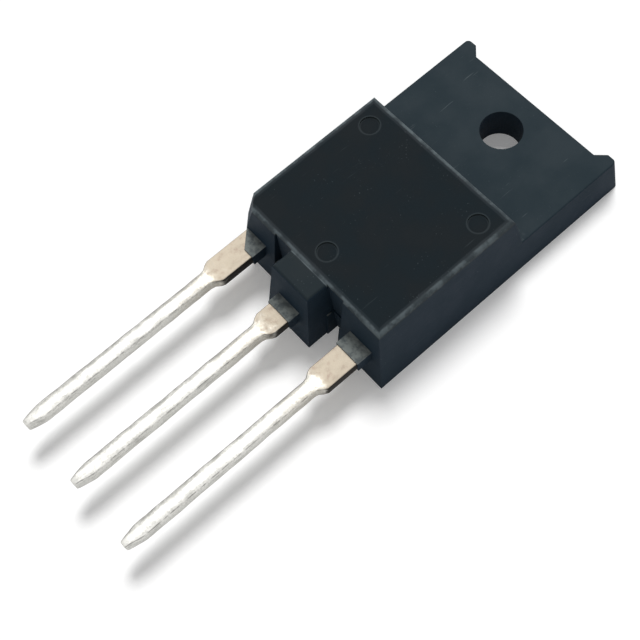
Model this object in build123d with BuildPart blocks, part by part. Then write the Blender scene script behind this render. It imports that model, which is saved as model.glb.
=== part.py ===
from build123d import *
from math import radians, sqrt, tan
import os

os.makedirs("parts", exist_ok=True)

# Power transistor in a fully moulded three-lead package, in millimetres.
# The package lies on its mounting face at z = 0. +Z leaves the front face, the leads
# run towards -Y, and the origin is where the mounting hole's axis meets the mounting face.

# Moulded body
BODY_WIDTH = 15.7  # across the sides at the mounting face, the widest place
BODY_HEIGHT = 5.8  # mounting face to front face
TAB_HEIGHT = 2.85  # mounting face to the top of the tab
SIDE_DRAFT = 9.0  # lean of the sides, the lead end and the step, in degrees
END_DRAFT = 4.0  # lean of the tab's free end, in degrees
HOLE_DIAMETER = 3.15  # mounting hole
HOLE_TO_LEAD_END = 17.95  # hole's axis to the lead end, at the front face
HOLE_TO_STEP = 5.8  # hole's axis to the step, at the front face
HOLE_TO_TAB_END = 3.2  # hole's axis to the free end between the horns, at tab level
HORN_LENGTH = 0.7  # how far each horn stands past the free end
HORN_WIDTH = 0.8  # width of a horn's tip at tab level
CORNER_FLAT = 1.1  # legs of the flat on the base lead's corner, at the front face
CORNER_DRAFT = 16.0  # lean of that flat down to the lead level, upright below it
EDGE_RADIUS = 0.35  # rounding round the front face
TAB_RADIUS = 0.12  # rounding round the tab's top and up the body's corners
HORN_RADIUS = 0.35  # rounding of a horn's outer corner

# Raised block round the middle lead, and the grooves beside it
BLOCK_WIDTH = 3.6  # at its top
BLOCK_LENGTH = 1.65  # past the lead end, at its top
BLOCK_SIDE_DRAFT = 4.0  # degrees
BLOCK_FRONT_DRAFT = 9.0  # degrees
BLOCK_DROP = 0.1  # front face down to the block's top
BLOCK_RADIUS = 0.2  # rounding round the block's top
GROOVE_WIDTH = 1.65  # from the block's side outwards
GROOVE_INSET = 0.1  # back wall behind the front face's edge
GROOVE_STEP = 0.12  # how much shallower a groove is below the parting line

# Resin collars round the lead roots
COLLAR_SKIN = 0.1  # resin round the lead
COLLAR_LENGTH = 1.65  # outer collars, past the lead end at the front face
COLLAR_BLOCK_LENGTH = 0.8  # middle collar, past the block's front at lead level

# Ejector pin marks in the front face
MARK_DIAMETER = 1.45
MARK_DEPTH = 0.12
MARK_SPACING = 10.7  # between the two marks by the step
MARK_TO_STEP = 1.85  # step to the centres of those two
MARK_TO_LEAD_END = 1.65  # lead end to the centre of the third

# Leads
LEAD_PITCH = 5.45
LEAD_THICKNESS = 0.9
LEAD_LEVEL = 2.2  # mounting face to the underside of the leads
LEAD_WIDE = 1.95  # width next to the body
LEAD_NARROW = 1.1  # width of the part that is soldered
LEAD_WIDE_LENGTH = 4.15  # lead end at the front face to the shoulder
LEAD_SHOULDER = 0.8  # length of the shoulder's taper
LEAD_LENGTH = 20.55  # lead end at the front face to the tip
LEAD_TIP_LENGTH = 1.3  # length of the tip's taper
LEAD_TIP_WIDTH = 0.5

# Metal inside the body
METAL_TO_SIDE = 1.3  # header and pads to the body's sides, at the mounting face

# Collector header
HEADER_THICKNESS = 1.5
HEADER_LEVEL = 0.5  # resin between the header and the mounting face
HEADER_TO_HOLE = 1.4  # resin between the header and the hole's wall
HEADER_TO_LEAD_END = 3.75  # header's edge to the lead end, at the front face

# Inner pads of the base and emitter leads
PAD_WIDTH = 3.6
PAD_LENGTH = 2.2
PAD_GAP = 0.7  # resin between the header's edge and the pads

# Die, its solder and the bond wires
DIE_SIZE = 6.0
DIE_THICKNESS = 0.3
DIE_SETBACK = 1.6  # header's edge to the die
SOLDER_THICKNESS = 0.08
SOLDER_MARGIN = 0.25  # solder past the die's edge
EMITTER_WIRE = 0.38
BASE_WIRE = 0.25
WIRE_RISE = 0.75  # top of a wire's arch over its pad
WIRE_SPACING = 1.3  # between the two emitter wires
FOOT_LENGTH = 2.6  # bond foot, in wire diameters
FOOT_WIDTH = 1.5  # bond foot, in wire diameters
FOOT_HEIGHT = 0.6  # bond foot, in wire diameters

side_slope = tan(radians(SIDE_DRAFT))
end_slope = tan(radians(END_DRAFT))
lead_top = LEAD_LEVEL + LEAD_THICKNESS
header_top = HEADER_LEVEL + HEADER_THICKNESS
header_tab_end = -(HOLE_DIAMETER / 2 + HEADER_TO_HOLE)
header_lead_end = -(HOLE_TO_LEAD_END - HEADER_TO_LEAD_END)
pad_inner_end = header_lead_end - PAD_GAP
header_half = BODY_WIDTH / 2 - METAL_TO_SIDE
pad_centre = header_half - PAD_WIDTH / 2
die_bottom = header_top + SOLDER_THICKNESS
die_top = die_bottom + DIE_THICKNESS
die_lead_edge = header_lead_end + DIE_SETBACK
die_centre = die_lead_edge + DIE_SIZE / 2
block_top = BODY_HEIGHT - BLOCK_DROP


def half_width(level):
    """Half of the body's width at a height over the mounting face."""
    return BODY_WIDTH / 2 - level * side_slope


def lead_end(level):
    """Y of the lead end at a height over the mounting face."""
    return -HOLE_TO_LEAD_END - (BODY_HEIGHT - level) * side_slope


def block_front(level):
    """Y of the block's front at a height over the mounting face."""
    reach = HOLE_TO_LEAD_END + BLOCK_LENGTH
    return -reach - (block_top - level) * tan(radians(BLOCK_FRONT_DRAFT))


def block_half(level):
    """Half of the block's width at a height over the mounting face."""
    return BLOCK_WIDTH / 2 + (block_top - level) * tan(radians(BLOCK_SIDE_DRAFT))


def section(level, *points):
    """A closed flat outline at a height over the mounting face."""
    with BuildSketch(Plane.XY.offset(level)) as face:
        with BuildLine():
            Polyline(*points, close=True)
        make_face()
    return face.sketch


def lower_section(level):
    """Outline of the main body and the tab, horns included."""
    side = half_width(level)
    end = lead_end(level)
    recess = HOLE_TO_TAB_END + (TAB_HEIGHT - level) * end_slope
    tip = recess + HORN_LENGTH
    inner = half_width(TAB_HEIGHT) - HORN_WIDTH
    root = inner - HORN_LENGTH
    return section(
        level,
        (-side, end),
        (side, end),
        (side, tip),
        (inner, tip),
        (root, recess),
        (-root, recess),
        (-inner, tip),
        (-side, tip),
    )


def upper_section(level):
    """Outline of the main body over the tab."""
    side = half_width(level)
    end = lead_end(level)
    step = -HOLE_TO_STEP + (BODY_HEIGHT - level) * side_slope
    return section(
        level,
        (-side, end),
        (side, end),
        (side, step),
        (-side, step),
    )


def corner_section(level):
    """Outline of what the flat takes off the base lead's corner."""
    lean = tan(radians(CORNER_DRAFT)) * (BODY_HEIGHT - max(level, lead_top))
    reach = half_width(BODY_HEIGHT) + HOLE_TO_LEAD_END - CORNER_FLAT + lean * sqrt(2)
    return section(
        level,
        (HOLE_TO_STEP - reach, -HOLE_TO_STEP),
        (HOLE_TO_STEP - reach, -reach),
        (0, -reach),
    )


def block_section(level):
    """Outline of the block round the middle lead, rooted in the body."""
    half = block_half(level)
    root = -HOLE_TO_LEAD_END + BLOCK_WIDTH / 4
    front = block_front(level)
    return section(level, (-half, front), (half, front), (half, root), (-half, root))


def groove_section(level, side, step):
    """Outline of one groove; side is -1 or 1, step is the wall left standing."""
    inner = side * (block_half(level) + step)
    outer = side * (BLOCK_WIDTH / 2 + GROOVE_WIDTH - step)
    back = -HOLE_TO_LEAD_END + GROOVE_INSET - step
    front = lead_end(0) - BLOCK_LENGTH * 2
    return section(level, (inner, back), (outer, back), (outer, front), (inner, front))


def lead_outline(centre, start):
    """Plan of a lead from a Y inside the body to its tip."""
    wide = LEAD_WIDE / 2
    narrow = LEAD_NARROW / 2
    point = LEAD_TIP_WIDTH / 2
    shoulder = -HOLE_TO_LEAD_END - LEAD_WIDE_LENGTH
    tip = -HOLE_TO_LEAD_END - LEAD_LENGTH
    return section(
        LEAD_LEVEL,
        (centre - wide, start),
        (centre - wide, shoulder),
        (centre - narrow, shoulder - LEAD_SHOULDER),
        (centre - narrow, tip + LEAD_TIP_LENGTH),
        (centre - point, tip),
        (centre + point, tip),
        (centre + narrow, tip + LEAD_TIP_LENGTH),
        (centre + narrow, shoulder - LEAD_SHOULDER),
        (centre + wide, shoulder),
        (centre + wide, start),
    )


def pad_lead(side):
    """Base or emitter lead with its inner pad; side is -1 or 1."""
    with BuildPart() as lead:
        extrude(lead_outline(side * LEAD_PITCH, pad_inner_end), amount=LEAD_THICKNESS)
        left = side * pad_centre - PAD_WIDTH / 2
        right = side * pad_centre + PAD_WIDTH / 2
        far = pad_inner_end - PAD_LENGTH
        pad = section(
            LEAD_LEVEL,
            (left, pad_inner_end),
            (right, pad_inner_end),
            (right, far),
            (left, far),
        )
        extrude(pad, amount=LEAD_THICKNESS)
    return lead


def bond_wire(start, finish, diameter):
    """A wire arched from a point on the die to a point on a pad, with its two feet."""
    middle = (start + finish) * 0.5
    apex = Vector(middle.X, middle.Y, lead_top + WIRE_RISE)
    heading = Vector(finish.X - start.X, finish.Y - start.Y, 0)
    lift = Vector(0, 0, diameter / 2)
    with BuildPart() as wire:
        with BuildLine() as path:
            ThreePointArc(start + lift, apex, finish + lift)
        with BuildSketch(Plane(origin=path.line @ 0, z_dir=path.line % 0)):
            Circle(diameter / 2)
        sweep(path=path.wire())
        for foot in (start, finish):
            with BuildSketch(Plane(origin=foot, x_dir=heading, z_dir=(0, 0, 1))):
                Rectangle(FOOT_LENGTH * diameter, FOOT_WIDTH * diameter)
            extrude(amount=FOOT_HEIGHT * diameter)
    return wire


# Collector: the header that carries the die and the middle lead, one copper stamping
with BuildPart() as collector_frame:
    plate = section(
        HEADER_LEVEL,
        (-header_half, header_tab_end),
        (-header_half, header_lead_end),
        (header_half, header_lead_end),
        (header_half, header_tab_end),
    )
    extrude(plate, amount=HEADER_THICKNESS)
    # The middle lead starts flush with the header's top and rises to the lead level.
    rise_start = header_lead_end - PAD_GAP / 2
    rise_end = header_lead_end - HEADER_TO_LEAD_END + PAD_GAP
    with BuildSketch(Plane.YZ.offset(-LEAD_WIDE / 2)) as joggle:
        with BuildLine():
            Polyline(
                (header_lead_end + 1, header_top),
                (rise_start, header_top),
                (rise_end, lead_top),
                (rise_end - 1, lead_top),
                (rise_end - 1, LEAD_LEVEL),
                (rise_end, LEAD_LEVEL),
                (rise_start, header_top - LEAD_THICKNESS),
                (header_lead_end + 1, header_top - LEAD_THICKNESS),
                close=True,
            )
        make_face()
    extrude(amount=LEAD_WIDE)
    extrude(lead_outline(0, rise_end), amount=LEAD_THICKNESS)
collector_frame.part.label = "collector_frame"
export_step(collector_frame.part, "parts/collector_frame.step")

# Base lead and emitter lead, each one stamping with its inner pad
base_lead = pad_lead(-1)
base_lead.part.label = "base_lead"
export_step(base_lead.part, "parts/base_lead.step")

emitter_lead = pad_lead(1)
emitter_lead.part.label = "emitter_lead"
export_step(emitter_lead.part, "parts/emitter_lead.step")

# Solder under the die
with BuildPart() as die_solder:
    with BuildSketch(Plane((0, die_centre, header_top))):
        RectangleRounded(
            DIE_SIZE + 2 * SOLDER_MARGIN, DIE_SIZE + 2 * SOLDER_MARGIN, SOLDER_MARGIN
        )
    extrude(amount=SOLDER_THICKNESS)
die_solder.part.label = "die_solder"
export_step(die_solder.part, "parts/die_solder.step")

# Silicon die
with BuildPart() as transistor_die:
    with BuildSketch(Plane((0, die_centre, die_bottom))):
        Rectangle(DIE_SIZE, DIE_SIZE)
    extrude(amount=DIE_THICKNESS)
transistor_die.part.label = "transistor_die"
export_step(transistor_die.part, "parts/transistor_die.step")

# Bond wires: two to the emitter pad, a thinner one to the base pad
pad_middle = pad_inner_end - PAD_LENGTH / 2
bond_row = die_lead_edge + DIE_SIZE / 4
emitter_wire_inner = bond_wire(
    Vector(DIE_SIZE / 4 - WIRE_SPACING / 2, bond_row, die_top),
    Vector(pad_centre - WIRE_SPACING / 2, pad_middle, lead_top),
    EMITTER_WIRE,
)
emitter_wire_inner.part.label = "emitter_wire_inner"
export_step(emitter_wire_inner.part, "parts/emitter_wire_inner.step")

emitter_wire_outer = bond_wire(
    Vector(DIE_SIZE / 4 + WIRE_SPACING / 2, bond_row, die_top),
    Vector(pad_centre + WIRE_SPACING / 2, pad_middle, lead_top),
    EMITTER_WIRE,
)
emitter_wire_outer.part.label = "emitter_wire_outer"
export_step(emitter_wire_outer.part, "parts/emitter_wire_outer.step")

base_wire = bond_wire(
    Vector(-DIE_SIZE / 4, bond_row, die_top),
    Vector(-pad_centre, pad_middle, lead_top),
    BASE_WIRE,
)
base_wire.part.label = "base_wire"
export_step(base_wire.part, "parts/base_wire.step")

# Moulded body, one piece of epoxy that fills round everything above
with BuildPart() as moulded_body:
    loft([lower_section(0), lower_section(TAB_HEIGHT)])
    loft([upper_section(TAB_HEIGHT), upper_section(BODY_HEIGHT)])
    horn_corners = moulded_body.edges().filter_by(
        lambda edge: edge.bounding_box().size.Z > TAB_HEIGHT / 2
        and edge.center().Y > HOLE_TO_TAB_END
        and abs(edge.center().X) > half_width(TAB_HEIGHT) - HORN_WIDTH / 2
    )
    fillet(horn_corners, HORN_RADIUS)

    # Collars round the lead roots
    for centre in (-LEAD_PITCH, 0, LEAD_PITCH):
        if centre == 0:
            reach = block_front(LEAD_LEVEL) - COLLAR_BLOCK_LENGTH
        else:
            reach = -HOLE_TO_LEAD_END - COLLAR_LENGTH
        half = LEAD_WIDE / 2 + COLLAR_SKIN
        collar = section(
            LEAD_LEVEL - COLLAR_SKIN,
            (centre - half, -HOLE_TO_LEAD_END),
            (centre - half, reach),
            (centre + half, reach),
            (centre + half, -HOLE_TO_LEAD_END),
        )
        extrude(collar, amount=LEAD_THICKNESS + 2 * COLLAR_SKIN)

    # Flat on the base lead's corner: it leans above the lead level and is upright below
    loft([corner_section(lead_top), corner_section(BODY_HEIGHT + 1)], mode=Mode.SUBTRACT)
    extrude(corner_section(lead_top), amount=-lead_top, mode=Mode.SUBTRACT)
    front_rim = moulded_body.faces().sort_by(Axis.Z)[-1].edges()
    tab_rim = moulded_body.edges().filter_by(
        lambda edge: abs(edge.center().Z - TAB_HEIGHT) < TAB_RADIUS / 4
        and edge.center().Y > -HOLE_TO_STEP + TAB_HEIGHT
        and edge.bounding_box().size.Z < TAB_RADIUS / 4
    )
    fillet(front_rim, EDGE_RADIUS)
    fillet(tab_rim.filter_by(lambda edge: edge.center().Y > -HOLE_TO_STEP / 4), TAB_RADIUS)

    # Block round the middle lead
    loft([block_section(0), block_section(block_top)])
    block_rim = moulded_body.edges().filter_by(
        lambda edge: abs(edge.center().Z - block_top) < BLOCK_DROP / 4
        and edge.center().Y < -HOLE_TO_LEAD_END - EDGE_RADIUS
    )
    fillet(block_rim, BLOCK_RADIUS)

    # Grooves beside the block, shallower below the parting line
    for side in (-1, 1):
        for bottom, top, step in (
            (-1, LEAD_LEVEL, GROOVE_STEP),
            (LEAD_LEVEL, BODY_HEIGHT + 1, 0),
        ):
            ends = [groove_section(bottom, side, step), groove_section(top, side, step)]
            loft(ends, mode=Mode.SUBTRACT)

    # Mounting hole
    with BuildSketch(Plane.XY):
        Circle(HOLE_DIAMETER / 2)
    extrude(amount=TAB_HEIGHT, mode=Mode.SUBTRACT)

    # Ejector pin marks
    for x, y in (
        (-MARK_SPACING / 2, -HOLE_TO_STEP - MARK_TO_STEP),
        (MARK_SPACING / 2, -HOLE_TO_STEP - MARK_TO_STEP),
        (0, -HOLE_TO_LEAD_END + MARK_TO_LEAD_END),
    ):
        with BuildSketch(Plane((x, y, BODY_HEIGHT - MARK_DEPTH))):
            Circle(MARK_DIAMETER / 2)
        extrude(amount=MARK_DEPTH, mode=Mode.SUBTRACT)

    # Room for the metal and the die
    for inner in (
        collector_frame,
        base_lead,
        emitter_lead,
        die_solder,
        transistor_die,
        emitter_wire_inner,
        emitter_wire_outer,
        base_wire,
    ):
        add(inner.part, mode=Mode.SUBTRACT)
moulded_body.part.label = "moulded_body"
export_step(moulded_body.part, "parts/moulded_body.step")
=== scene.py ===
"""Fully moulded power transistor: its finishes, leads, light and camera, in metres."""

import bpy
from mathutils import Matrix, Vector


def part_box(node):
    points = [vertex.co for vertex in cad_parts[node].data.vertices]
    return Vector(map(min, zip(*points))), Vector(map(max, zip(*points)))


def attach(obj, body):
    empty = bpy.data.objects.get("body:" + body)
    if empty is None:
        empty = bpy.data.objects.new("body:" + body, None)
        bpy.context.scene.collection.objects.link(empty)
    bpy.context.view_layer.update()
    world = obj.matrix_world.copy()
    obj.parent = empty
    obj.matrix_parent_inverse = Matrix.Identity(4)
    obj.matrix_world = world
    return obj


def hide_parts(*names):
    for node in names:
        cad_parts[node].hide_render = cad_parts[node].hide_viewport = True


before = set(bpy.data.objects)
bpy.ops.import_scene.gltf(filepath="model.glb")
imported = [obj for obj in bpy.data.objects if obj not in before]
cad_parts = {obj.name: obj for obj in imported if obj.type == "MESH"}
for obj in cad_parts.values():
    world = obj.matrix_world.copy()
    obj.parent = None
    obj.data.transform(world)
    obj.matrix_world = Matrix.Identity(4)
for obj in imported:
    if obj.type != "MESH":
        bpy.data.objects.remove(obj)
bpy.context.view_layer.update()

import logging
import math
from dataclasses import dataclass
from enum import Enum

import bmesh
import bpy
from mathutils import Matrix, Vector, noise

logger = logging.getLogger("transistor")

MM = 0.001
LEAD_PITCH = 5.45 * MM
LEAD_WIDE = 1.95 * MM
LEAD_THICKNESS = 0.9 * MM
SHARP_EDGE = 40.0
GRAIN_MIDDLE = 0.5
DISPLAY_TOP = 255
DISPLAY_TOE = 0.04045
DISPLAY_SLOPE = 12.92
DISPLAY_OFFSET = 0.055
DISPLAY_POWER = 2.4
MIX_SHARE, MIX_FIRST, MIX_SECOND, MIX_RESULT = 0, 6, 7, 2
Number = float | bpy.types.NodeSocket
Colour = tuple[float, float, float, float] | bpy.types.NodeSocket
Tint = tuple[float, float, float]
Triple = tuple[float, float, float]
Pair = tuple[float, float]


class Zone(Enum):
    """Where the front of the moulded body has its own texture."""

    PANEL = "panel"
    TAB = "tab"
    BLOCK = "block"


class Side(Enum):
    """Which side of the middle lead a lead stands on."""

    BASE = -1
    EMITTER = 1


def tint(red: float, green: float, blue: float) -> tuple[float, float, float, float]:
    """Turn a colour as a painter would mix it, 0 to 255, into the shader's scale.

    Args:
        red: Red as displayed.
        green: Green as displayed.
        blue: Blue as displayed.

    Returns:
        The colour in linear light, with a full alpha.
    """
    linear = []
    for value in (red, green, blue):
        part = value / DISPLAY_TOP
        if part > DISPLAY_TOE:
            linear.append(((part + DISPLAY_OFFSET) / (1 + DISPLAY_OFFSET)) ** DISPLAY_POWER)
        else:
            linear.append(part / DISPLAY_SLOPE)
    return (*linear, 1.0)


@dataclass(frozen=True)
class Grain:
    """Soft random grain: its size, its finer layers and how it is drawn out."""

    size: float
    detail: float = 2.0
    rough: float = 0.5
    stretch: Triple = (1.0, 1.0, 1.0)


@dataclass(frozen=True)
class Patches:
    """Random patches, where a grain passes from one level to another."""

    grain: Grain
    start: float
    end: float
    low: float = 0.0
    high: float = 1.0


@dataclass(frozen=True)
class Relief:
    """Shallow relief that a grain gives to a surface."""

    grain: Grain
    depth: float
    strength: float = 1.0


class Graph:
    """A material's nodes, with a short call for each kind that the finishes use."""

    def __init__(self, name: str) -> None:
        """Start an empty material that knows the place of each point.

        Args:
            name: Name of the material.
        """
        self.material = bpy.data.materials.new(name)
        self.material.use_nodes = True
        self.nodes = self.material.node_tree.nodes
        self.links = self.material.node_tree.links
        self.nodes.clear()
        where = self.nodes.new("ShaderNodeTexCoord")
        self.place = where.outputs["Object"]
        self.x, self.y, self.z = self.split(self.place)
        self.facing = self.split(where.outputs["Normal"])

    def feed(self, socket: bpy.types.NodeSocket, value: Number | Colour) -> None:
        """Link a socket to another one, or set its own value.

        Args:
            socket: The input to fill.
            value: An output to link, or a plain value.
        """
        if isinstance(value, bpy.types.NodeSocket):
            self.links.new(value, socket)
        else:
            socket.default_value = value

    def split(self, vector: bpy.types.NodeSocket) -> tuple[bpy.types.NodeSocket, ...]:
        """Split a vector into its three numbers.

        Args:
            vector: The vector's socket.

        Returns:
            The sockets of x, y and z.
        """
        node = self.nodes.new("ShaderNodeSeparateXYZ")
        self.links.new(vector, node.inputs[0])
        return tuple(node.outputs)

    def sum(self, kind: str, first: Number, second: Number = 0.0) -> bpy.types.NodeSocket:
        """Work out one number from two.

        Args:
            kind: The operation, as the Math node names it.
            first: First number.
            second: Second number.

        Returns:
            The result's socket.
        """
        node = self.nodes.new("ShaderNodeMath")
        node.operation = kind
        self.feed(node.inputs[0], first)
        self.feed(node.inputs[1], second)
        return node.outputs[0]

    def fade(
        self,
        value: Number,
        start: float,
        end: float,
        low: float = 0.0,
        high: float = 1.0,
    ) -> bpy.types.NodeSocket:
        """Fade smoothly from one number to another as a value passes a stretch.

        Args:
            value: The number that is followed.
            start: Where the fade starts.
            end: Where it ends.
            low: Result at the start.
            high: Result at the end.

        Returns:
            The result's socket.
        """
        node = self.nodes.new("ShaderNodeMapRange")
        node.interpolation_type = "SMOOTHSTEP"
        for socket, part in zip(node.inputs, (value, start, end, low, high)):
            self.feed(socket, part)
        return node.outputs[0]

    def both(self, *masks: Number) -> bpy.types.NodeSocket:
        """Multiply masks, so that the result holds only where all of them do.

        Args:
            masks: The masks, sockets or plain numbers.

        Returns:
            The product's socket.
        """
        result = masks[0]
        for mask in masks[1:]:
            result = self.sum("MULTIPLY", result, mask)
        return result

    def grain(self, grain: Grain) -> bpy.types.NodeSocket:
        """Spread soft random grain.

        Args:
            grain: Its size and layers.

        Returns:
            The socket of a number round the grain's middle.
        """
        mapping = self.nodes.new("ShaderNodeMapping")
        mapping.inputs["Scale"].default_value = grain.stretch
        self.links.new(self.place, mapping.inputs["Vector"])
        node = self.nodes.new("ShaderNodeTexNoise")
        self.links.new(mapping.outputs[0], node.inputs["Vector"])
        node.inputs["Scale"].default_value = 1 / grain.size
        node.inputs["Detail"].default_value = grain.detail
        node.inputs["Roughness"].default_value = grain.rough
        return node.outputs[0]

    def patches(self, patches: Patches) -> bpy.types.NodeSocket:
        """Spread random patches.

        Args:
            patches: Their grain and levels.

        Returns:
            The mask's socket.
        """
        grain = self.grain(patches.grain)
        return self.fade(grain, patches.start, patches.end, patches.low, patches.high)

    def mix(self, share: Number, first: Colour, second: Colour) -> bpy.types.NodeSocket:
        """Mix two colours.

        Args:
            share: Share of the second colour.
            first: Colour at a share of 0.
            second: Colour at a share of 1.

        Returns:
            The mixed colour's socket.
        """
        node = self.nodes.new("ShaderNodeMix")
        node.data_type = "RGBA"
        self.feed(node.inputs[MIX_SHARE], share)
        self.feed(node.inputs[MIX_FIRST], first)
        self.feed(node.inputs[MIX_SECOND], second)
        return node.outputs[MIX_RESULT]

    def relief(
        self,
        relief: Relief,
        over: bpy.types.NodeSocket | None = None,
        share: Number = 1.0,
    ) -> bpy.types.NodeSocket:
        """Bend the surface's normal by a relief.

        Args:
            relief: The relief.
            over: Relief that this one lies over.
            share: Mask of where it lies.

        Returns:
            The bent normal's socket.
        """
        node = self.nodes.new("ShaderNodeBump")
        node.inputs["Strength"].default_value = relief.strength
        node.inputs["Distance"].default_value = relief.depth
        self.feed(node.inputs["Height"], self.both(share, self.grain(relief.grain)))
        if over is not None:
            self.links.new(over, node.inputs["Normal"])
        return node.outputs[0]

    def paint(self, base: Tint, layers: list[tuple[Number, Tint]]) -> bpy.types.NodeSocket:
        """Lay colours over one another.

        Args:
            base: The lowest colour.
            layers: The mask and the colour of each layer over it.

        Returns:
            The topmost colour's socket.
        """
        colour = tint(*base)
        for mask, layer in layers:
            colour = self.mix(mask, colour, tint(*layer))
        return colour

    def distance(self, x: float, y: float) -> bpy.types.NodeSocket:
        """Measure how far each point is from an upright axis.

        Args:
            x: X of the axis.
            y: Y of the axis.

        Returns:
            The distance's socket.
        """
        squares = [
            self.sum("POWER", self.sum("SUBTRACT", place, centre), 2)
            for place, centre in ((self.x, x), (self.y, y))
        ]
        return self.sum("SQRT", self.sum("ADD", *squares))

    def finish(
        self,
        colour: Colour,
        roughness: Number,
        metallic: float,
        specular: float,
        normal: bpy.types.NodeSocket,
    ) -> bpy.types.Material:
        """Close the material with its shader.

        Args:
            colour: Base colour.
            roughness: Roughness.
            metallic: 1 on metal, 0 elsewhere.
            specular: Strength of the reflection on a surface that isn't metal.
            normal: Bent normal.

        Returns:
            The finished material.
        """
        shader = self.nodes.new("ShaderNodeBsdfPrincipled")
        self.feed(shader.inputs["Base Color"], colour)
        self.feed(shader.inputs["Roughness"], roughness)
        shader.inputs["Metallic"].default_value = metallic
        shader.inputs["Specular IOR Level"].default_value = specular
        self.links.new(normal, shader.inputs["Normal"])
        output = self.nodes.new("ShaderNodeOutputMaterial")
        self.links.new(shader.outputs[0], output.inputs["Surface"])
        return self.material


@dataclass(frozen=True)
class Front:
    """Levels and edges of the moulded body's front."""

    height: float
    tab: float = 2.85 * MM
    half: float = 6.93 * MM
    step: float = -5.8 * MM
    lead_end: float = -17.95 * MM
    block_drop: float = 0.12 * MM
    marks: tuple[Pair, ...] = (
        (-5.35 * MM, -7.65 * MM),
        (5.35 * MM, -7.65 * MM),
        (0.0, -16.3 * MM),
    )


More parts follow.
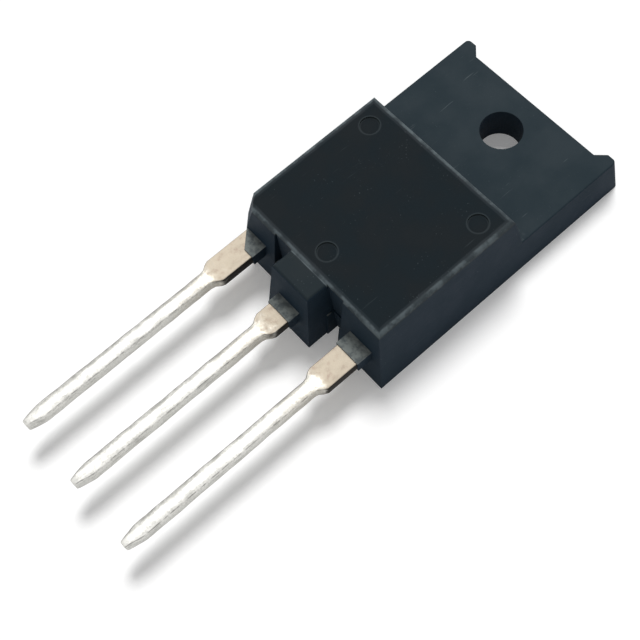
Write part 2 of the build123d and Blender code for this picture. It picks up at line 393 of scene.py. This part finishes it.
@dataclass(frozen=True)
class MouldingCompound:
    """Black epoxy as it leaves the mould: a matt panel inside a smoother rim.

    A name that ends in worn, specked, scratched, ringed or highlighted is the share of that layer,
    and a pair tells where a fade starts and ends.
    """

    panel: Tint = (17, 24, 28)
    rim: Tint = (22, 30, 35)
    tab: Tint = (26, 40, 47)
    block: Tint = (22, 31, 35)
    # the walls are painted lighter and bluer than the front, as painted sheen
    wall_painted_sheen: Tint = (20, 36, 49)
    collar: Tint = (118, 124, 122)
    # real scuffs, and also the colour of the painted highlight along the crest
    scuff_and_highlight: Tint = (96, 106, 110)
    rim_width: float = 0.45 * MM
    rim_blur: float = 0.12 * MM
    rounding: float = 0.4 * MM
    slack: float = 0.06 * MM
    wander: Grain = Grain(0.9 * MM, 3)
    wander_reach: float = 0.1 * MM
    clouds: Patches = Patches(Grain(3.2 * MM, 3, 0.55), 0.35, 0.7, high=0.3)
    specked: float = 0.25
    specks: Patches = Patches(Grain(0.13 * MM, 1), 0.7, 0.78)
    speck_fields: Patches = Patches(Grain(1.8 * MM), 0.5, 0.6)
    scratched: float = 0.4
    scratched_off_tab: float = 0.3
    scratch_lines: Patches = Patches(Grain(0.16 * MM, 2, 0.6, (1, 0.06, 1)), 0.66, 0.74)
    scratch_fields: Patches = Patches(Grain(2.4 * MM, 1), 0.5, 0.62)
    ledge_worn: float = 0.3
    ledge_width: float = 1.6 * MM
    ledge_wear: Patches = Patches(Grain(0.35 * MM, 4, 0.7), 0.5, 0.66)
    ringed: float = 0.16
    ring_radius: float = 0.725 * MM
    ring_line: Pair = (0.03 * MM, 0.13 * MM)
    # the crest is a painted highlight along the panel's rounded edge, patchy as if worn
    crest_highlighted: float = 0.75
    crest_outer: Pair = (-0.05 * MM, 0.06 * MM)
    crest_inner: Pair = (0.24 * MM, 0.4 * MM)
    crest_highlight_patches: Patches = Patches(Grain(1.1 * MM, 3, 0.6), 0.4, 0.62, 0.35)
    collar_tilt: Pair = (0.6, 0.8)
    collar_reach: Pair = (0.35 * MM, 0.1 * MM)
    collar_level: Pair = (0.6 * MM, 0.9 * MM)
    collar_patchiness: Patches = Patches(Grain(0.5 * MM, 3, 0.6), 0.35, 0.6, 0.45)
    roughness: Pair = (0.68, 0.86)
    gloss: Patches = Patches(Grain(3.2 * MM, 3, 0.55), 0.3, 0.7, -0.05, 0.05)
    specular: float = 0.16
    fine: Relief = Relief(Grain(0.07 * MM, 3, 0.6), 0.012 * MM, 0.7)
    coarse: Relief = Relief(Grain(0.5 * MM), 0.02 * MM, 0.5)

    def zone(self, g: Graph, zone: Zone, front: Front) -> bpy.types.NodeSocket:
        """Mask one zone of the front.

        Args:
            g: The material's nodes.
            zone: Which zone.
            front: Levels and edges of the front.

        Returns:
            A mask, 1 inside the zone.
        """
        slack, lead_end = self.slack, front.lead_end
        if zone is Zone.TAB:
            above = g.fade(g.z, front.tab - slack, front.tab - slack / 2)
            below = g.fade(g.z, front.tab + slack / 2, front.tab + slack, 1, 0)
            return g.both(above, below, g.fade(g.y, front.step, front.step + slack))
        if zone is Zone.BLOCK:
            level = front.height - front.block_drop
            above = g.fade(g.z, level - slack, level - slack / 2)
            return g.both(above, g.fade(g.y, lead_end - slack, lead_end, 1, 0))
        above = g.fade(g.z, front.height - self.rounding, front.height - self.rounding / 2)
        return g.both(above, g.fade(g.y, lead_end - slack, lead_end))

    def inset(self, g: Graph, front: Front) -> bpy.types.NodeSocket:
        """Measure how far each point is from the panel's edge, which wanders a little.

        Args:
            g: The material's nodes.
            front: Levels and edges of the front.

        Returns:
            The distance's socket.
        """
        side = g.sum("SUBTRACT", front.half, g.sum("ABSOLUTE", g.x))
        tab_side = g.sum("SUBTRACT", front.step, g.y)
        lead_side = g.sum("SUBTRACT", g.y, front.lead_end)
        nearest = g.sum("MINIMUM", side, g.sum("MINIMUM", tab_side, lead_side))
        return g.sum("ADD", nearest, g.sum("MULTIPLY", g.grain(self.wander), self.wander_reach))

    def crest(self, g: Graph, inset: bpy.types.NodeSocket) -> bpy.types.NodeSocket:
        """Mask the painted highlight along the panel's rounded edge, patchy as if worn.

        Args:
            g: The material's nodes.
            inset: Distance from the panel's edge.

        Returns:
            A patchy mask, 1 where the painted highlight is brightest.
        """
        outer = g.fade(inset, *self.crest_outer)
        inner = g.fade(inset, *self.crest_inner, 1, 0)
        return g.both(outer, inner, g.patches(self.crest_highlight_patches))

    def rings(self, g: Graph, front: Front) -> bpy.types.NodeSocket:
        """Mask the rims of the ejector pin marks.

        Args:
            g: The material's nodes.
            front: Levels and edges of the front.

        Returns:
            A mask, 1 on the rims.
        """
        ring = 0.0
        for x, y in front.marks:
            off = g.sum("ABSOLUTE", g.sum("SUBTRACT", g.distance(x, y), self.ring_radius))
            ring = g.sum("MAXIMUM", ring, g.fade(off, *self.ring_line, 1, 0))
        return ring

    def scratches(self, g: Graph, tab_top: bpy.types.NodeSocket) -> bpy.types.NodeSocket:
        """Mask fine scratches, which are fainter off the tab.

        Args:
            g: The material's nodes.
            tab_top: Mask of the tab.

        Returns:
            A mask, 1 on a scratch of the tab.
        """
        lines = g.both(g.patches(self.scratch_lines), g.patches(self.scratch_fields))
        return g.both(lines, g.sum("MAXIMUM", tab_top, self.scratched_off_tab))

    def collars(self, g: Graph, front: Front) -> bpy.types.NodeSocket:
        """Mask the patchy tops of the collars round the leads.

        Args:
            g: The material's nodes.
            front: Levels and edges of the front.

        Returns:
            A mask, 1 where a collar is palest.
        """
        upwards = g.fade(g.facing[2], *self.collar_tilt)
        start, end = (front.lead_end - reach for reach in self.collar_reach)
        outside = g.fade(g.y, start, end, 1, 0)
        start, end = (front.tab + level for level in self.collar_level)
        low = g.fade(g.z, start, end, 1, 0)
        return g.both(upwards, outside, low, g.patches(self.collar_patchiness))

    def layers(
        self,
        g: Graph,
        front: Front,
        panel: bpy.types.NodeSocket,
        inset: bpy.types.NodeSocket,
        matt: bpy.types.NodeSocket,
    ) -> list[tuple[Number, Tint]]:
        """List the layers of colour over the bare walls, the lowest first.

        Args:
            g: The material's nodes.
            front: Levels and edges of the front.
            panel: Mask of the panel with its rim.
            inset: Distance from the panel's edge.
            matt: Mask of the matt panel alone.

        Returns:
            The mask and the colour of each layer.
        """
        tab_top = self.zone(g, Zone.TAB, front)
        speck = g.both(g.patches(self.specks), g.patches(self.speck_fields))
        ledge = g.both(tab_top, g.fade(g.y, front.step, front.step + self.ledge_width, 1, 0))
        worn = g.both(ledge, g.patches(self.ledge_wear))
        return [
            (panel, self.rim),
            (matt, self.panel),
            (tab_top, self.tab),
            (self.zone(g, Zone.BLOCK, front), self.block),
            (g.patches(self.clouds), self.tab),
            (g.both(speck, self.specked), self.scuff_and_highlight),
            (g.both(self.scratches(g, tab_top), self.scratched), self.scuff_and_highlight),
            (g.both(worn, self.ledge_worn), self.scuff_and_highlight),
            (g.both(self.rings(g, front), panel, self.ringed), self.scuff_and_highlight),
            # painted highlight along the panel's rounded edge
            (g.both(self.crest(g, inset), panel, self.crest_highlighted), self.scuff_and_highlight),
            (self.collars(g, front), self.collar),
        ]

    def build(self, front: Front) -> bpy.types.Material:
        """Make the material.

        Args:
            front: Levels and edges of the front.

        Returns:
            The finished material.
        """
        g = Graph("moulding_compound")
        panel = self.zone(g, Zone.PANEL, front)
        inset = self.inset(g, front)
        matt = g.both(panel, g.fade(inset, self.rim_width, self.rim_width + self.rim_blur))
        # the base colour is the walls' painted sheen
        colour = g.paint(self.wall_painted_sheen, self.layers(g, front, panel, inset, matt))
        smooth, rough = self.roughness
        roughness = g.sum("ADD", g.fade(matt, 0, 1, smooth, rough), g.patches(self.gloss))
        relief = g.relief(self.coarse, g.relief(self.fine))
        return g.finish(colour, roughness, 0.0, self.specular, relief)


@dataclass(frozen=True)
class TinnedCopper:
    """Stamped copper lead: bare by the body, dipped in tin towards the tip.

    A name that ends in stained, darkened, specked, shaded or pitted is the share of that layer,
    and a pair tells where a fade starts and ends.
    """

    name: str = "tinned_copper"
    bare: Tint = (183, 173, 157)
    stain: Tint = (160, 142, 129)
    # near-black painted shade for the leads' sides and rounded edges
    painted_side_shade: Tint = (40, 37, 34)
    tin: Tint = (222, 221, 216)
    root: Tint = (190, 184, 172)
    dull: Tint = (138, 137, 132)
    stained: float = 0.7
    stains: Patches = Patches(Grain(0.55 * MM, 4, 0.65), 0.5, 0.75)
    painted_shade_turn: Pair = (0.55, 0.85)
    dip_line: float = -22.3 * MM
    dip_edge: Pair = (-0.6 * MM, 0.5 * MM)
    dip_wander: Grain = Grain(1.1 * MM, 3, 0.6)
    dip_reach: float = 3.0 * MM
    root_length: float = 6.0 * MM
    root_speckle: Patches = Patches(Grain(0.22 * MM, 4, 0.7), 0.36, 0.64, 0.45)
    dull_patches: Patches = Patches(Grain(0.5 * MM, 4, 0.65, (1, 0.35, 1)), 0.42, 0.8, high=0.6)
    flank_darkened: float = 0.8
    flank_edge: Pair = (-0.08 * MM, -0.36 * MM)
    flank_mottle: Patches = Patches(Grain(0.3 * MM, 4, 0.7, (1, 0.5, 1)), 0.3, 0.66, 0.35)
    specked: float = 0.35
    specks: Patches = Patches(Grain(0.14 * MM, 3, 0.7), 0.48, 0.66)
    # painted shade along the leads' rounded edges
    edge_shaded: float = 0.6
    edge_shade_inner: Pair = (0.3, 0.5)
    edge_shade_outer: Pair = (0.6, 0.85)
    edge_shade_patches: Patches = Patches(Grain(0.5 * MM, 3), 0.4, 0.6)
    pitted: float = 0.3
    pits: Patches = Patches(Grain(0.09 * MM), 0.66, 0.76)
    roughness: Pair = (0.68, 0.46)
    dull_roughness: float = 0.12
    metallic: float = 0.8
    specular: float = 0.5
    fine: Relief = Relief(Grain(0.12 * MM, 3, 0.6), 0.02 * MM, 0.5)
    waves: Relief = Relief(Grain(0.9 * MM, 3, 0.55, (1, 0.4, 1)), 0.12 * MM, 0.5)

    def dipped(self, g: Graph) -> bpy.types.NodeSocket:
        """Mask the tin, whose edge wanders across the lead.

        Args:
            g: The material's nodes.

        Returns:
            A mask, 1 in the tin.
        """
        wander = g.sum("SUBTRACT", g.grain(self.dip_wander), GRAIN_MIDDLE)
        line = g.sum("ADD", g.y, g.sum("MULTIPLY", wander, self.dip_reach))
        start, end = (self.dip_line + edge for edge in self.dip_edge)
        return g.fade(line, start, end, 1, 0)

    def flank(self, g: Graph) -> bpy.types.NodeSocket:
        """Mask a darker band along the flank of each lead, on the side of -X.

        Args:
            g: The material's nodes.

        Returns:
            A mottled mask, 1 where the band is darkest.
        """
        half = LEAD_PITCH / 2
        turns = g.sum("FLOORED_MODULO", g.sum("ADD", g.x, half), LEAD_PITCH)
        across = g.sum("SUBTRACT", turns, half)
        return g.both(g.fade(across, *self.flank_edge), g.patches(self.flank_mottle))

    def edge_shade(self, g: Graph, side: bpy.types.NodeSocket) -> bpy.types.NodeSocket:
        """Mask the painted shade along the rounded edges, where the tin is also thinner.

        Args:
            g: The material's nodes.
            side: How far the surface turns to the side, 0 to 1.

        Returns:
            A patchy mask, 1 where the painted shade is darkest.
        """
        edge = g.both(g.fade(side, *self.edge_shade_inner), g.fade(side, *self.edge_shade_outer, 1, 0))
        return g.both(edge, g.patches(self.edge_shade_patches))

    def copper(self, g: Graph, side: bpy.types.NodeSocket) -> bpy.types.NodeSocket:
        """Mix the bare copper, with its stains and the painted shade on its sheared sides.

        Args:
            g: The material's nodes.
            side: How far the surface turns to the side, 0 to 1.

        Returns:
            The colour's socket.
        """
        stained = g.both(g.patches(self.stains), self.stained)
        # the sheared sides are darkened as painted shade, well past their own tone
        painted_side_shade = g.fade(side, *self.painted_shade_turn)
        return g.paint(self.bare, [(stained, self.stain), (painted_side_shade, self.painted_side_shade)])

    def tinning(self, g: Graph, side: Number, dulled: Number) -> bpy.types.NodeSocket:
        """Mix the tin, from its dull patches to the painted shade on its edges.

        Args:
            g: The material's nodes.
            side: How far the surface turns to the side, 0 to 1.
            dulled: Mask of the dull patches.

        Returns:
            The colour's socket.
        """
        by_root = g.fade(g.y, self.dip_line - self.root_length, self.dip_line)
        layers = [
            (dulled, self.dull),
            (g.both(by_root, g.patches(self.root_speckle)), self.root),
            (g.both(self.flank(g), self.flank_darkened), self.dull),
            (g.both(g.patches(self.specks), self.specked), self.dull),
            # painted shade along the rounded edges
            (g.both(self.edge_shade(g, side), self.edge_shaded), self.painted_side_shade),
        ]
        return g.paint(self.tin, layers)

    def build(self) -> bpy.types.Material:
        """Make the material, from bare copper to dipped tin.

        Returns:
            The finished material.
        """
        g = Graph(self.name)
        side = g.sum("ABSOLUTE", g.facing[0])
        dipped = self.dipped(g)
        dulled = g.patches(self.dull_patches)
        pitted = g.both(g.patches(self.pits), self.pitted)
        colour = g.mix(dipped, self.copper(g, side), self.tinning(g, side, dulled))
        colour = g.mix(pitted, colour, tint(*self.dull))
        roughness = g.fade(dipped, 0, 1, *self.roughness)
        roughness = g.sum("ADD", roughness, g.both(dulled, self.dull_roughness))
        relief = g.relief(self.waves, g.relief(self.fine), dipped)
        return g.finish(colour, roughness, self.metallic, self.specular, relief)


@dataclass(frozen=True)
class InnerFinish:
    """Finish of a piece that the epoxy hides."""

    name: str
    colour: Tint
    shade: Tint
    roughness: float
    metallic: float
    grain: float
    cloud_levels: Pair = (0.35, 0.7)
    gloss: Pair = (-0.06, 0.1)
    fineness: float = 4.0
    shallowness: float = 30.0
    relief_strength: float = 0.6
    specular: float = 0.5

    def build(self) -> bpy.types.Material:
        """Make the material, with cloudy colour and a fine grain.

        Returns:
            The finished material.
        """
        g = Graph(self.name)
        cloud = g.patches(Patches(Grain(self.grain, 4, 0.6), *self.cloud_levels))
        colour = g.paint(self.colour, [(cloud, self.shade)])
        roughness = g.sum("ADD", self.roughness, g.fade(cloud, 0, 1, *self.gloss))
        fine = Grain(self.grain / self.fineness, 3)
        relief = g.relief(Relief(fine, self.grain / self.shallowness, self.relief_strength))
        return g.finish(colour, roughness, self.metallic, self.specular, relief)


@dataclass
class MouldedBody:
    """The epoxy body, dressed as it comes from the frame."""

    finish: MouldingCompound = MouldingCompound()

    def dress(self) -> None:
        """Give the body its finish, placed by the frame's own box."""
        dress("moulded_body", self.finish.build(Front(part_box("moulded_body")[1].z)))


@dataclass
class Stamping:
    """A lead stamped in one piece with the plate inside the body."""

    name: str
    node: str
    slot: str
    centre: float
    plate: tuple[Vector, Vector]
    root: Pair
    rise: Pair | None = None
    wide: float = LEAD_WIDE
    narrow: float = 1.1 * MM
    thickness: float = LEAD_THICKNESS
    shoulder: float = -22.1 * MM
    shoulder_length: float = 0.8 * MM
    root_margin: float = 1.2 * MM
    tip_length: float = 1.3 * MM
    tip_width: float = 0.5 * MM
    edge: float = 0.09 * MM
    edge_steps: int = 3
    edge_reach: float = 6.0 * MM
    crown: float = 0.09 * MM
    crown_cuts: tuple[float, ...] = (-0.24 * MM, -0.1 * MM, 0.1 * MM, 0.24 * MM)
    ripple: float = 0.03 * MM
    ripple_size: float = 0.9 * MM
    ripple_aside: float = 0.7
    dip_length: float = 1.5 * MM
    ending_start: float = 0.05 * MM
    ending_length: float = 0.4 * MM
    spacing: float = 0.3 * MM
    tip_gap: float = 0.02 * MM
    hair: float = 0.01 * MM
    outward: float = -0.9

    def stations(self) -> list[Triple]:
        """List where the lead's section changes.

        Returns:
            Y, width and underside level of each section, from the body outwards.
        """
        low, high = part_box(self.node)
        level = high.z - self.thickness
        rows = []
        if self.rise is not None:
            rows.append((self.rise[0], self.wide, self.root[0]))
            rows.append((self.rise[1], self.wide, level))
        y = self.shoulder + self.root_margin
        rows.append((y, self.wide, level))
        while y - self.spacing > low.y + self.tip_gap:
            y -= self.spacing
            rows.append((y, self.width(y, low.y), level))
        rows.append((low.y, self.tip_width, level))
        return rows

    def width(self, y: float, tip: float) -> float:
        """Width of the lead at one place along it.

        Args:
            y: The place.
            tip: Y of the tip.

        Returns:
            The width.
        """
        share = share_of(self.shoulder - y, self.shoulder_length)
        share = share * share * (3 - 2 * share)
        result = self.wide + (self.narrow - self.wide) * share
        if y - tip < self.tip_length:
            result = self.tip_width + (self.narrow - self.tip_width) * (y - tip) / self.tip_length
        return result

    def outer_end(self, bm: bmesh.types.BMesh, x: float, z: float) -> bmesh.types.BMFace:
        """Find the face at the lead's growing end.

        Args:
            bm: The mesh.
            x: X of the face's middle.
            z: Z of the face's middle.

        Returns:
            The face that looks towards the leads' tips and is nearest that middle.
        """
        bm.normal_update()
        faces = [face for face in bm.faces if face.normal.y < self.outward]

        def miss(face: bmesh.types.BMFace) -> float:
            """Distance from the wanted middle, seen along the lead."""
            middle = face.calc_center_median()
            return (middle - Vector((x, middle.y, z))).length

        return min(faces, key=miss)

    def start(self) -> bmesh.types.BMesh:
        """Start the mesh with the plate, cut where the lead grows out of it.

        Returns:
            The mesh.
        """
        bm = bmesh.new()
        low, high = self.plate
        middle = Matrix.Translation((low + high) / 2)
        bmesh.ops.create_cube(bm, size=1, matrix=middle @ Matrix.Diagonal((*(high - low), 1)))
        for x in (self.centre - self.wide / 2, self.centre + self.wide / 2):
            cut(bm, (x, 0, 0), (1, 0, 0))
        if self.root[0] > low.z + self.hair:
            cut(bm, (0, 0, self.root[0]), (0, 0, 1))
        return bm

    def grow(self, bm: bmesh.types.BMesh) -> bmesh.types.BMFace:
        """Grow the lead out of its plate, station by station.

        Args:
            bm: The mesh.

        Returns:
            The face at the tip.
        """
        face = self.outer_end(bm, self.centre, sum(self.root) / 2)
        about = Matrix.Translation((-self.centre, 0, 0))
        y, width, level = self.plate[0].y, self.wide, self.root[0]
        for next_y, next_width, next_level in self.stations():
            face = bmesh.ops.extrude_discrete_faces(bm, faces=[face])["faces"][0]
            corners = list(face.verts)
            bmesh.ops.scale(bm, vec=(next_width / width, 1, 1), space=about, verts=corners)
            bmesh.ops.translate(bm, vec=(0, next_y - y, next_level - level), verts=corners)
            y, width, level = next_y, next_width, next_level
        return face

    def round_edges(self, bm: bmesh.types.BMesh, tip: bmesh.types.BMFace) -> None:
        """Round the lead's long edges and those of its tip.

        Args:
            bm: The mesh.
            tip: The face at the tip.
        """
        start = self.shoulder + self.edge_reach
        long_edges = [
            edge for edge in bm.edges
            if max(vert.co.y for vert in edge.verts) < start
            and abs(edge.verts[0].co.y - edge.verts[1].co.y) > self.hair / 2
        ]
        bmesh.ops.bevel(
            bm,
            geom=long_edges + list(tip.edges),
            offset=self.edge,
            offset_type="OFFSET",
            segments=self.edge_steps,
            profile=0.5,
            affect="EDGES",
            material=-1,
            clamp_overlap=True,
        )

    def build(self) -> bpy.types.Object:
        """Grow the lead out of its plate, round its edges and swell the tin.

        Returns:
            The finished piece.
        """
        bm = self.start()
        self.round_edges(bm, self.grow(bm))
        for shift in self.crown_cuts:
            cut(bm, (self.centre + shift, 0, 0), (1, 0, 0))
        self.swell(bm)
        bmesh.ops.recalc_face_normals(bm, faces=bm.faces)
        piece = make_piece(self.name, bm, SHARP_EDGE)
        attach(piece, "root")
        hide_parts(self.node)
        return piece

    def swell(self, bm: bmesh.types.BMesh) -> None:
        """Crown the dipped part and ripple its skin a little.

        Args:
            bm: The mesh.
        """
        low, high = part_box(self.node)
        middle = high.z - self.thickness / 2
        for vert in bm.verts:
            dipped = share_of(self.shoulder - vert.co.y, self.dip_length)
            ending = share_of(vert.co.y - low.y - self.ending_start, self.ending_length)
            if dipped * ending == 0:
                continue
            across = abs(vert.co.x - self.centre) / (self.narrow / 2)
            lift = self.crown * max(1 - across * across, 0)
            wave = self.ripple * noise.noise(vert.co / self.ripple_size)
            up = 1 if vert.co.z > middle else -1
            out = 1 if vert.co.x > self.centre else -1
            vert.co.z += up * (lift + wave) * dipped * ending
            vert.co.x += out * wave * dipped * ending * across * self.ripple_aside


def share_of(reach: float, length: float) -> float:
    """How much of a length is reached, kept between 0 and 1."""
    return min(max(reach / length, 0), 1)


def cut(bm: bmesh.types.BMesh, point: Triple, normal: Triple) -> None:
    """Cut new edges where a plane crosses a mesh.

    Args:
        bm: The mesh.
        point: A point of the plane.
        normal: The plane's normal.
    """
    geom = [*bm.verts, *bm.edges, *bm.faces]
    bmesh.ops.bisect_plane(bm, geom=geom, plane_co=point, plane_no=normal)


def make_piece(name: str, bm: bmesh.types.BMesh, sharp: float) -> bpy.types.Object:
    """Turn a mesh under construction into a smooth-shaded object at the origin.

    Args:
        name: Name of the piece.
        bm: The mesh, which is freed.
        sharp: Edges that bend by more than this, in degrees, stay crisp.

    Returns:
        The new object.
    """
    mesh = bpy.data.meshes.new(name)
    bm.to_mesh(mesh)
    bm.free()
    mesh.shade_smooth()
    mesh.set_sharp_from_angle(angle=math.radians(sharp))
    piece = bpy.data.objects.new(name, mesh)
    bpy.context.scene.collection.objects.link(piece)
    return piece


def dress(node: str, material: bpy.types.Material) -> None:
    """Put a material on every slot of a node of the frame.

    Args:
        node: Name of the node.
        material: The material.
    """
    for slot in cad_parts[node].material_slots:
        slot.material = material
    logger.info("dressed %s with %s", node, material.name)


@dataclass
class LeadSet:
    """The three leads with the plates that they are stamped with."""

    header: float = 1.5 * MM
    header_gap: float = 0.7 * MM
    pad_length: float = 2.2 * MM
    rise_start: float = 0.35 * MM
    rise_end: float = 3.05 * MM
    finish: TinnedCopper = TinnedCopper()

    def side_lead(self, side: Side) -> bpy.types.Object:
        """Build the base lead or the emitter lead.

        Args:
            side: Which of the two.

        Returns:
            The finished piece.
        """
        role = side.name.lower()
        low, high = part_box(f"{role}_lead")
        plate = (Vector((low.x, high.y - self.pad_length, low.z)), high)
        return Stamping(
            name=f"{role}_stamping",
            node=f"{role}_lead",
            slot=f"tinned_copper_{role}",
            centre=side.value * LEAD_PITCH,
            plate=plate,
            root=(low.z, high.z),
        ).build()

    def middle_lead(self) -> bpy.types.Object:
        """Build the collector: its header plate, the rise and the middle lead.

        Returns:
            The finished piece.
        """
        low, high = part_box("collector_frame")
        edge = self.header_edge()
        top = low.z + self.header
        plate = (Vector((low.x, edge, low.z)), Vector((high.x, high.y, top)))
        return Stamping(
            name="collector_stamping",
            node="collector_frame",
            slot="tinned_copper_collector",
            centre=0.0,
            plate=plate,
            root=(top - LEAD_THICKNESS, top),
            rise=(edge - self.rise_start, edge - self.rise_end),
        ).build()

    def header_edge(self) -> float:
        """Y of the header's edge, a gap inwards of the side leads' plates."""
        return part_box("base_lead")[1].y + self.header_gap

    def build(self) -> None:
        """Build the three leads and dress them."""
        material = self.finish.build()
        for piece in (self.side_lead(Side.BASE), self.middle_lead(), self.side_lead(Side.EMITTER)):
            piece.data.materials.append(material)
            logger.info("built %s", piece.name)


@dataclass
class ChipAssembly:
    """The die, its solder and the bond wires inside the body."""

    silicon: InnerFinish = InnerFinish(
        name="silicon_die",
        colour=(96, 99, 112),
        shade=(70, 74, 92),
        roughness=0.28,
        metallic=0.0,
        grain=0.6 * MM,
    )
    solder: InnerFinish = InnerFinish(
        name="die_solder",
        colour=(150, 152, 155),
        shade=(112, 115, 120),
        roughness=0.45,
        metallic=1.0,
        grain=0.4 * MM,
    )
    wire: InnerFinish = InnerFinish(
        name="bond_wire",
        colour=(206, 208, 212),
        shade=(168, 171, 177),
        roughness=0.35,
        metallic=1.0,
        grain=0.3 * MM,
    )

    def dress(self) -> None:
        """Dress each hidden piece."""
        dress("transistor_die", self.silicon.build())
        dress("die_solder", self.solder.build())
        wire = self.wire.build()
        for node in ("emitter_wire_inner", "emitter_wire_outer", "base_wire"):
            dress(node, wire)


def seen_rays(nodes: bpy.types.Nodes, links: bpy.types.NodeLinks) -> bpy.types.NodeSocket:
    """Tell the rays that show a surface from those that only carry its light.

    Args:
        nodes: The nodes to add to.
        links: Their links.

    Returns:
        A socket that is 1 for camera, mirror and see-through rays, 0 for others.
    """
    rays = nodes.new("ShaderNodeLightPath")
    seen = rays.outputs["Is Camera Ray"]
    for name in ("Is Glossy Ray", "Is Transmission Ray"):
        either = nodes.new("ShaderNodeMath")
        either.operation = "MAXIMUM"
        links.new(seen, either.inputs[0])
        links.new(rays.outputs[name], either.inputs[1])
        seen = either.outputs[0]
    return seen


@dataclass
class Studio:
    """Floor, light and camera."""

    floor_size: float = 3.0
    floor_white: float = 0.96
    floor_shade: float = 0.95
    floor_drop: float = 0.005 * MM
    floor_rough: float = 0.9
    floor_clouds: Grain = Grain(4 * MM)
    floor_relief: Relief = Relief(Grain(2 * MM), 0.002 * MM, 0.1)
    sky: float = 0.36
    sky_seen: float = 1.0
    key: float = 2.3
    key_from: Triple = (-0.36, 0.38, 0.852)
    key_angle: float = 22.0
    lift: float = 0.15
    camera_place: Triple = (30.62 * MM, -35.70 * MM, 74.83 * MM)
    camera_turn: Triple = (24.027, 4.938, 48.908)
    lens: float = 66.12
    sensor: float = 36.0
    clip: Pair = (1 * MM, 10.0)

    def card(self) -> bpy.types.Material:
        """Make the floor's white, with an even fill that isn't cast as light.

        Returns:
            The finished material.
        """
        g = Graph("white_card")
        white = (self.floor_white,) * 3 + (1.0,)
        shade = (self.floor_shade,) * 3 + (1.0,)
        colour = g.mix(g.grain(self.floor_clouds), white, shade)
        material = g.finish(colour, self.floor_rough, 0.0, 0.0, g.relief(self.floor_relief))
        shader = g.nodes["Principled BSDF"]
        shader.inputs["Emission Color"].default_value = (1, 1, 1, 1)
        fill = g.both(seen_rays(g.nodes, g.links), self.lift)
        g.feed(shader.inputs["Emission Strength"], fill)
        return material

    def lay_floor(self) -> None:
        """Lay a large white floor under the object."""
        bm = bmesh.new()
        bmesh.ops.create_grid(bm, x_segments=1, y_segments=1, size=self.floor_size / 2)
        bmesh.ops.translate(bm, vec=(0, 0, -self.floor_drop), verts=bm.verts)
        floor = make_piece("floor", bm, SHARP_EDGE)
        floor.data.materials.append(self.card())

    def hang_key(self) -> None:
        """Hang the soft key light."""
        lamp = bpy.data.lights.new("key_light", "SUN")
        lamp.energy = self.key
        lamp.angle = math.radians(self.key_angle)
        holder = bpy.data.objects.new("key_light", lamp)
        holder.rotation_euler = Vector(self.key_from).to_track_quat("Z", "Y").to_euler()
        bpy.context.scene.collection.objects.link(holder)

    def spread_sky(self) -> None:
        """Spread an even sky, brighter where the camera and reflections see it."""
        world = bpy.data.worlds.new("sky")
        world.use_nodes = True
        nodes, links = world.node_tree.nodes, world.node_tree.links
        background = nodes["Background"]
        background.inputs["Color"].default_value = (1, 1, 1, 1)
        strength = nodes.new("ShaderNodeMapRange")
        links.new(seen_rays(nodes, links), strength.inputs["Value"])
        strength.inputs["To Min"].default_value = self.sky
        strength.inputs["To Max"].default_value = self.sky_seen
        links.new(strength.outputs[0], background.inputs["Strength"])
        bpy.context.scene.world = world

    def place_camera(self) -> None:
        """Set the camera up above the object, beyond its leads and to one side."""
        data = bpy.data.cameras.new("camera")
        data.lens = self.lens
        data.sensor_width = self.sensor
        data.clip_start, data.clip_end = self.clip
        holder = bpy.data.objects.new("camera", data)
        holder.location = self.camera_place
        holder.rotation_euler = [math.radians(turn) for turn in self.camera_turn]
        bpy.context.scene.collection.objects.link(holder)
        bpy.context.scene.camera = holder

    def build(self) -> None:
        """Build the floor, the lights and the camera."""
        self.lay_floor()
        self.hang_key()
        self.spread_sky()
        self.place_camera()
        bpy.context.scene.view_settings.view_transform = "Standard"
        logger.info("studio ready")


def main() -> None:
    """Build and dress the transistor."""
    logging.basicConfig(level=logging.INFO, format="%(name)s: %(message)s")
    Studio().build()
    MouldedBody().dress()
    LeadSet().build()
    ChipAssembly().dress()


if __name__ == "__main__":
    main()
